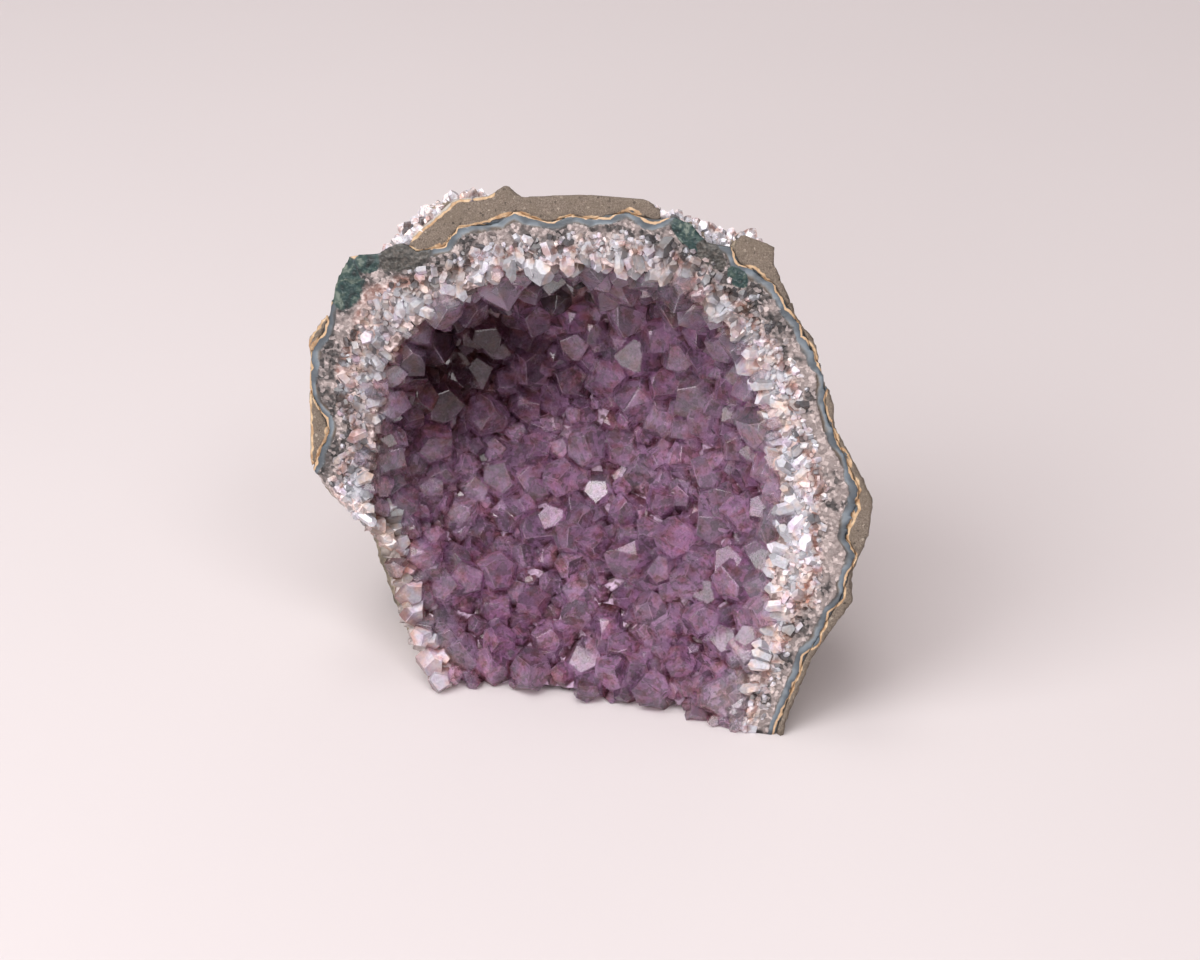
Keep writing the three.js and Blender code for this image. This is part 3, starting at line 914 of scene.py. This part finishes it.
def crystal_bmesh(rng, crystal):
    """The crystal in the face frame; faces that stand for a worn edge are tagged for a painted highlight."""
    points, faces = polyhedron(*crystal_planes(rng, crystal.radius, crystal.shoulder, crystal.root))
    spin = Matrix.Rotation(rng.uniform(0, 2 * math.pi), 3, "Z")
    turn = Vector((0, 0, 1)).rotation_difference(Vector(crystal.axis)).to_matrix() @ spin
    points = points @ np.array(turn).T + crystal.place
    bm = bmesh.new()
    made = [bm.verts.new(p) for p in points.tolist()]
    for face in faces:
        bm.faces.new([made[i] for i in face])
    if crystal.bevel:
        plain = bm.copy()
        bevelled = bmesh.ops.bevel(
            bm, geom=list(bm.edges), offset=crystal.bevel, segments=1, affect="EDGES", clamp_overlap=True
        )
        if all(edge.is_manifold for edge in bm.edges):
            for face in bm.faces:
                face.tag = False
            for face in bevelled["faces"]:
                face.tag = True
            plain.free()
        else:
            bm.free()
            bm = plain
    return bm


def scattered(rng, points, triangles, count):
    """Points spread evenly over triangles, with their normals."""
    normals, areas, _ = normals_of(points, triangles)
    picked = rng.choice(len(triangles), size=count, p=areas / areas.sum())
    r1, r2 = np.sqrt(rng.random(count)), rng.random(count)
    a, b, c = (points[triangles[picked, k]] for k in range(3))
    found = a * (1 - r1)[:, None] + b * (r1 * (1 - r2))[:, None] + c * (r1 * r2)[:, None]
    return found, normals[picked]


class Spacing:
    """Keeps balls apart, with a grid that finds the ones nearby."""

    def __init__(self, cell):
        self.cell, self.grid = cell, {}

    def cell_of(self, point):
        return tuple(math.floor(v / self.cell) for v in point)

    def near(self, point):
        x, y, z = self.cell_of(point)
        for dx, dy, dz in itertools.product((-1, 0, 1), repeat=3):
            yield from self.grid.get((x + dx, y + dy, z + dz), ())

    def fits(self, point, radius, closeness=1.0):
        return all(math.dist(point, other) > closeness * (radius + size) for other, size in self.near(point))

    def keep(self, point, radius):
        self.grid.setdefault(self.cell_of(point), []).append((tuple(point), radius))


def grouped(crystals):
    """Shares crystals out so that those in one group can't touch."""
    groups = []
    for crystal in crystals:
        middle = crystal.place + crystal.axis * 0.5 * crystal.shoulder
        reach = crystal.reach()
        for spacing, members in groups:
            if spacing.fits(middle, reach):
                break
        else:
            spacing, members = Spacing(cell=24.0), []
            groups.append((spacing, members))
        spacing.keep(middle, reach)
        members.append(crystal)
    return [members for _, members in groups]


def crystal_group(rng, crystals):
    """One object of crystals that don't touch, a tone for each crystal and a painted shade for each facet.
    """
    points, faces, tones, facets, edges = [], [], [], [], []
    for crystal in crystals:
        bm = crystal_bmesh(rng, crystal)
        bm.verts.index_update()
        start, tone = len(points), rng.random()
        points += [tuple(v.co) for v in bm.verts]
        for face in bm.faces:
            faces.append([v.index + start for v in face.verts])
            tones.append(tone)
            facets.append(rng.random())
            edges.append(float(face.tag))
        bm.free()
    group = new_object("crystals", np.array(points), faces)
    for name, values in (("tone", tones), ("facet", facets), ("edge", edges)):
        layer = group.data.attributes.new(name, "FLOAT", "FACE")
        layer.data.foreach_set("value", values)
    return group


def united(objects, name):
    """The union of closed objects, as one object."""
    first, *others = objects
    for other in others:
        modifier = first.modifiers.new("join", "BOOLEAN")
        modifier.operation = "UNION"
        modifier.solver = "MANIFOLD"
        modifier.object = other
    apply_modifiers(first)
    for other in others:
        bpy.data.objects.remove(other)
    first.name = name
    first.data.name = name
    return first


# The crystals' colours, from pale to deep
AMETHYST = [
    (0.0, 252, 238, 242),
    (0.25, 246, 214, 230),
    (0.55, 222, 180, 204),
    (0.8, 178, 134, 160),
    (1.0, 108, 62, 78),
]
MILKY = [
    (0.0, 255, 248, 245),
    (0.15, 250, 238, 236),
    (0.35, 234, 208, 218),
    (0.65, 200, 164, 184),
    (1.0, 144, 108, 132),
]
QUARTZ = [(0.0, 255, 246, 243), (0.35, 250, 234, 232), (0.65, 212, 182, 192), (1.0, 150, 118, 136)]
TOWARDS_BLUE = (0.85, 0.95, 1.06)  # the two hues the crystals vary between; their redder feet are painted shade
TOWARDS_RED = (1.08, 0.88, 0.74)
FROST = 0.06  # some facets are rougher by this
AMETHYST_ABSORPTION = (srgb(217, 168, 204), 85.0)  # a colour, and a density per metre


def clear_colour(n, stops, tone, low):
    """Quartz coloured along stops, with painted shade low down between crystals, brown patches and pale
    veils.
    """
    deep = n.value("deep")
    cloud = n.centred(n.noise(2.2, 2, 0.6))
    value = n.add(deep, n.add(n.times(tone, 0.5), n.times(cloud, 0.8)))
    # Painted shade: low on a crystal, near the bed, the purple is darker.
    value = n.add(value, n.times(low, n.spread(deep, 0.0, 0.3, 0.15, 0.35)))
    colour = n.colours(value, stops)
    brown = n.times(n.patches(3.0, 0.52, 0.66, roughness=0.7), n.spread(deep, 0.1, 0.5, 0.0, 0.45))
    colour = n.mix(brown, colour, srgb(150, 104, 106))
    veils = n.patches(0.6, 0.52, 0.66, detail=1, roughness=0.7)
    return n.mix(n.times(veils, n.spread(deep, 0.5, 0.9, 0.25, 0.1)), colour, srgb(248, 222, 244))


def with_stains(n, colour, tone, dingy):
    """Adds brown stains beside the granular band, rust, dirt, and single dark grains near the skin."""
    skin = n.value("skin_away")
    stain = n.times(n.band(skin, 5.4, 0.5, 0.8), n.patches(2.4, 0.42, 0.56, detail=3))
    colour = n.mix(n.times(stain, 0.65), colour, srgb(176, 122, 100))
    colour = n.mix(n.times(n.value("rust"), 0.5), colour, srgb(206, 132, 84))
    soiled = n.times(dingy, n.patches(3.4, 0.44, 0.58))
    colour = n.mix(n.times(soiled, 0.5), colour, srgb(150, 112, 98))
    dark = n.spread(n.add(tone, n.times(dingy, -0.32)), -0.44, -0.38, 1.0, 0.0)
    dark = n.times(dark, n.spread(skin, 4.0, 10.0, 1.0, 0.0))
    return n.mix(n.times(dark, 0.8), colour, srgb(62, 54, 54))


def crystal_material(name, stops, transmission, roughness, sugary=0.0, absorption=None):
    """Clear to cloudy quartz: each crystal has its own tone, and each facet its own painted light and shade.

    Sugary quartz is grainy too. Absorption is what the inside takes away: a colour and a density per metre.
    """
    n = Nodes(name)
    tone = n.centred(n.value("tone"))
    facet, edge, dingy = (n.value(layer) for layer in ("facet", "edge", "dingy"))
    # low is 1 at a crystal's foot and 0 higher up; it carries the painted shade between crystals
    low = n.spread(n.value("height"), BED_SWELL - 0.5, BED_SWELL + 2.2, 1.0, 0.0)
    colour = with_stains(n, clear_colour(n, stops, tone, low), tone, dingy)

    # The hue varies at random, and turns redder low down as part of the painted shade.
    hue = n.spread(n.add(n.noise(3.0, 2, 0.6), n.times(low, 0.3)), 0.45, 0.78, smooth=False)
    colour = n.mix(1.0, colour, n.mix(hue, TOWARDS_BLUE, TOWARDS_RED), "MULTIPLY")
    # Painted light and shade: each facet lighter or darker at random, as if it caught the lamps its own way.
    painted_facet_light = n.spread(facet, 0.0, 1.0, 0.5, 1.34, smooth=False)
    shade = n.times(painted_facet_light, n.spread(tone, -0.5, 0.5, 0.82, 1.16))
    # Painted shade: darker at the feet, a little lighter at the tips.
    shade = n.times(shade, n.spread(low, 0.0, 1.0, 1.08, 0.66))
    if sugary:
        grains = n.cells(0.45, "Color")
        grains = n.colours(grains, [(0.2, 96, 88, 86), (0.5, 226, 216, 214), (0.8, 255, 255, 255)])
        colour = n.mix(sugary, colour, grains, "MULTIPLY")
        shade = n.times(shade, n.spread(dingy, 0.0, 1.0, 1.0, 0.78, smooth=False))
    colour = n.mix(1.0, colour, shade, "MULTIPLY")
    # A painted highlight: the worn edges paler.
    colour = n.mix(n.times(edge, 0.12), colour, srgb(250, 240, 246))

    frosted = n.spread(facet, 0.88, 0.97, roughness, roughness + FROST)
    n.finish(
        base_color=colour,
        roughness=n.add(frosted, n.times(edge, 0.1)),
        ior=QUARTZ_IOR,
        transmission_weight=transmission,
    )
    if absorption:
        tint, density = absorption
        volume = n.make("VolumeAbsorption", color=tint, density=density)
        n.put(n.output.inputs["Volume"], volume.outputs[0])
    return n.material


OUT_OF_SHADE = 5.0  # the height over the bed written for crystals outside the hollow: too high for painted shade


def finish_crystals(rng, crystals, name, material, replaced=(), pale=False):
    """Joins crystals into one piece that holds the values its material reads. A pale piece stays white."""
    piece = united([crystal_group(rng, members) for members in grouped(crystals)], name)
    piece.data.shade_flat()
    keep_in_box(piece)
    points = points_of(piece)
    in_the_hollow = (points[:, 1] > 0.3) & (not pale)
    write_values(
        piece,
        deep=depth_of_colour_and_shade(points) * (not pale),
        # the height over the bed, from which the material paints shade at the crystals' feet
        height=np.where(in_the_hollow, distances(hollow_tree, points), OUT_OF_SHADE),
        skin_away=distances(skin_tree, points),
        rust=patches_at(points, RUST),
        dingy=dinginess(points) * (not pale),
    )
    piece.data.materials.clear()
    piece.data.materials.append(material)
    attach(piece, "root")
    if replaced:
        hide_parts(*replaced)


GROWN = 1.14  # the crystals grow into each other by this
TIERS = (  # smallest and largest radius, how close they may stand, and how many tries
    (3.0, 4.3, 0.74, 700),
    (2.1, 3.0, 0.7, 2500),
    (1.4, 2.1, 0.64, 6000),
    (0.9, 1.4, 0.62, 8000),
)
RIM_DEPTH = 7.0  # as near the face as this the crystals get smaller and lean out
RIM_LARGEST, INNER_LARGEST = 1.2, 3.8  # the radii above which there are fewer, on the rim and inside
BREAK_LARGEST = 2.4  # the largest radius near the break
BEVELLED_FROM = 1.4  # larger crystals than this have worn edges
NEAR_BREAK, PALE_NEAR_BREAK = 5.0, 3.5  # as near the break, crystals are small, and pale
PALE_DEPTH = 2.2  # along the rim they are pale as far in as this
PALE_ABOVE = 6.0  # but not at the foot
LEAN_OUT = 0.35  # how far the rim's crystals lean out of the face
LOWEST = 0.7  # the crystals' tips stay this far above the foot
PROUD = 2.2  # and no further than this ahead of the sawn face


def has_room(tip):
    """Whether a tip is behind the front of the CAD box, not too far ahead of the sawn face, and clear of the
    floor.
    """
    _, y, z = from_face(tip)
    return y >= CAD_BOX[0][1] + 0.2 * MM and tip[1] >= -PROUD and z >= LOWEST * MM


def hollow_crystals(rng):
    """Amethyst over the hollow, the large crystals first, and milky quartz along its rim."""
    hollow = wall_triangles[in_hollow]
    spacing = Spacing(cell=10.0)
    purple, milky = [], []
    for low, high, closeness, tries in TIERS:
        points, normals = scattered(rng, wall_points, hollow, tries)
        for point, normal in zip(points, normals):
            radius = rng.uniform(low, high)
            rim = 1 - ramp(point[1], 0, RIM_DEPTH)
            from_break = break_tree.find_nearest(point.tolist())[3] + rng.normal(0, 1.5)
            largest = INNER_LARGEST - (INNER_LARGEST - RIM_LARGEST) * rim
            left_out = radius > largest and rng.random() < 1.6 * rim
            if left_out or radius > BREAK_LARGEST and from_break < NEAR_BREAK:
                continue
            if not spacing.fits(point, radius, closeness):
                continue
            axis = normal + rng.normal(0, 0.3 + 0.25 * rim, 3) + np.array([0, -LEAN_OUT * rim, 0])
            grown = GROWN * radius
            shoulder = BED_SWELL + grown * rng.uniform(0.1, 0.75)
            crystal = Crystal(point, axis, grown, shoulder, bevel=0.03 * grown * (grown > BEVELLED_FROM))
            if not has_room(point + crystal.axis * (shoulder + 0.9 * grown)):
                continue
            spacing.keep(point, radius)
            on_rim = point[1] + rng.normal(0, 1.6) < PALE_DEPTH and point[2] > PALE_ABOVE
            pale = on_rim or from_break < PALE_NEAR_BREAK
            (milky if pale else purple).append(crystal)
    return purple, milky


RIM_TIERS = ((1.1, 1.7, 300), (0.7, 1.1, 2500), (0.4, 0.7, 9000))  # radii and tries
RIM_CLOSENESS = 0.66  # how close they may stand
RIM_SPREAD = (2.5, 8.0)  # they thin out between these distances from the hollow


def rim_crystals(rng):
    """Small quartz crystals half sunk in the sawn face, most with their tips towards the hollow."""
    spacing = Spacing(cell=6.0)
    found = []
    for low, high, tries in RIM_TIERS:
        points, _ = scattered(rng, wall_points, wall_triangles[on_face], tries)
        for point in points:
            nearest, _, _, away = hollow_tree.find_nearest(point.tolist())
            skin = skin_tree.find_nearest(point.tolist())[3]
            radius = rng.uniform(low, high)
            too_far = away > rng.uniform(*RIM_SPREAD) - 0.6 * radius
            if too_far or skin < rng.uniform(2.2, GRANULAR_TO) + radius:
                continue
            if not spacing.fits(point, radius, RIM_CLOSENESS):
                continue
            spacing.keep(point, radius)
            axis = np.array(nearest) - point
            axis = 0.7 * axis / max(np.linalg.norm(axis), 0.3) + rng.normal(0, 0.7, 3)
            axis[1] = -abs(axis[1]) - 0.1  # out of the face
            place = point + np.array([0, 0.5 * radius, 0])
            shoulder, root = radius * rng.uniform(0.1, 1.1), radius * rng.uniform(0.6, 1.2)
            found.append(Crystal(place, axis, radius, shoulder, root))
    return found


# Places on the outside of the rock where white druse grows, as x, z and radius on the face
OUTER_DRUSE = [(-43.0, 93.0, 15.0), (-30.0, 102.0, 5.0), (15.0, 100.0, 10.0), (24.0, 98.0, 5.0)]
OUTER_TIERS = ((0.8, 1.3, 6000), (0.4, 0.8, 20000))  # radii and tries
OUTER_CLOSENESS = 0.75  # how close they may stand
OUTER_DEPTH = (9, 15)  # the druse thins out between these depths


def outer_crystals(rng):
    """White sugar-like quartz on the outside, behind the upper edge of the face."""
    points, triangles = triangles_of(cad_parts["host_rock"])
    normals, _, middles = normals_of(points, triangles)
    outer = ((normals * (middles - HOLLOW_MIDDLE)).sum(axis=1) > 0) & (middles[:, 1] > FACE_SLACK)
    found, spacing = [], Spacing(cell=4.0)
    for low, high, tries in OUTER_TIERS:
        places, directions = scattered(rng, points, triangles[outer], tries)
        for place, direction in zip(places, directions):
            x, y, z = place
            inside = max(1 - math.hypot(x - cx, z - cz) / reach for cx, cz, reach in OUTER_DRUSE)
            if inside < rng.uniform(0, 0.3) or y > rng.uniform(*OUTER_DEPTH) or y < 0.7:
                continue
            radius = rng.uniform(low, high)
            if not spacing.fits(place, radius, OUTER_CLOSENESS):
                continue
            spacing.keep(place, radius)
            axis = direction + rng.normal(0, 0.3, 3)
            found.append(Crystal(place, axis, radius, radius * rng.uniform(0.2, 0.9), radius))
    return found


def add_crystals():
    rng = np.random.default_rng(SEED)
    purple, milky = hollow_crystals(rng)
    clear = {"transmission": 0.82, "roughness": 0.03, "absorption": AMETHYST_ABSORPTION}
    amethyst = crystal_material("amethyst", AMETHYST, **clear)
    finish_crystals(rng, purple, "amethyst_crystals", amethyst, ["amethyst_crust"])
    quartz = crystal_material("milky_quartz", MILKY, transmission=0.35, roughness=0.05, sugary=0.2)
    finish_crystals(rng, milky + rim_crystals(rng), "rim_quartz_crystals", quartz)
    sugar = crystal_material("sugar_quartz", QUARTZ, transmission=0.0, roughness=0.1, sugary=0.4)
    finish_crystals(rng, outer_crystals(rng), "outer_quartz_druse", sugar, pale=True)


add_camera()
add_surroundings()
add_rock()
add_wall()
add_crystals()
